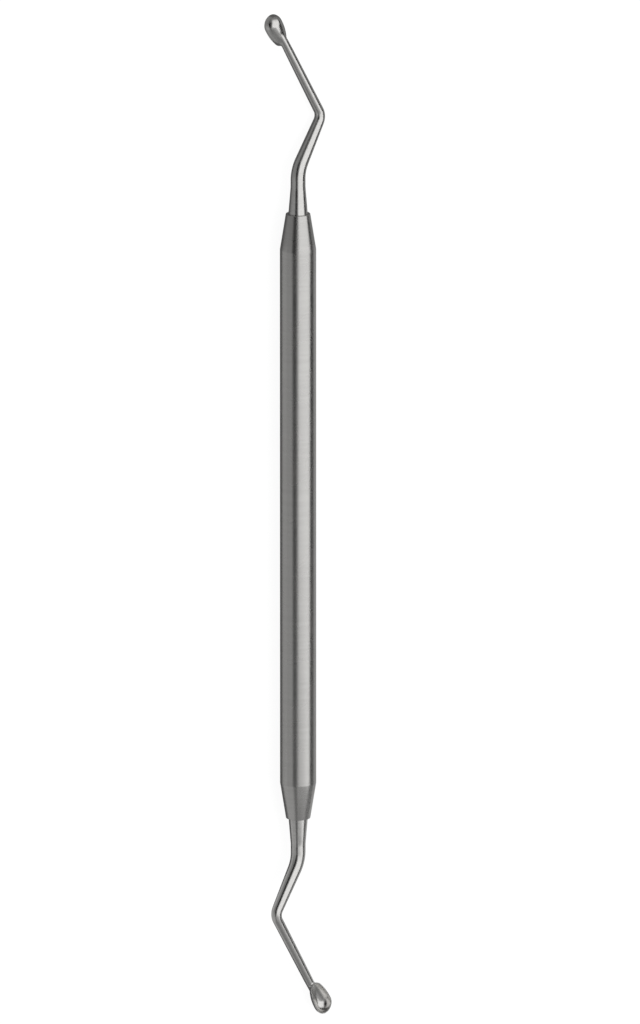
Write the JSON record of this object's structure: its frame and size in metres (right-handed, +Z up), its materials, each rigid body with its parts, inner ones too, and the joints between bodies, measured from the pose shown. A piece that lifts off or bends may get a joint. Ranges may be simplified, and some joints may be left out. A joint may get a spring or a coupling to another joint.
{
  "type": "double-ended bone curette",
  "caption": "Slim round steel handle with a thin twice-bent shank and a small hollow egg-shaped spoon at each end, the spoons facing opposite ways.",
  "frame": {"origin": "on the surface that the curette lies on, straight under the middle of the handle", "axes": "+Z up from the surface, +Y along the handle towards the left-hand spoon end, +X to the right when looking down with +Y ahead"},
  "size_m": [0.0124, 0.1726, 0.006],
  "materials": {
    "handle_steel": "satin turned stainless steel with a fine grain around the handle",
    "working_end_steel": "smooth satin stainless steel, polished by hand after grinding"
  },
  "bodies": {
    "root": {"handle": "handle_steel", "left_spoon_end": "working_end_steel", "right_spoon_end": "working_end_steel"}
  },
  "joints": []
}
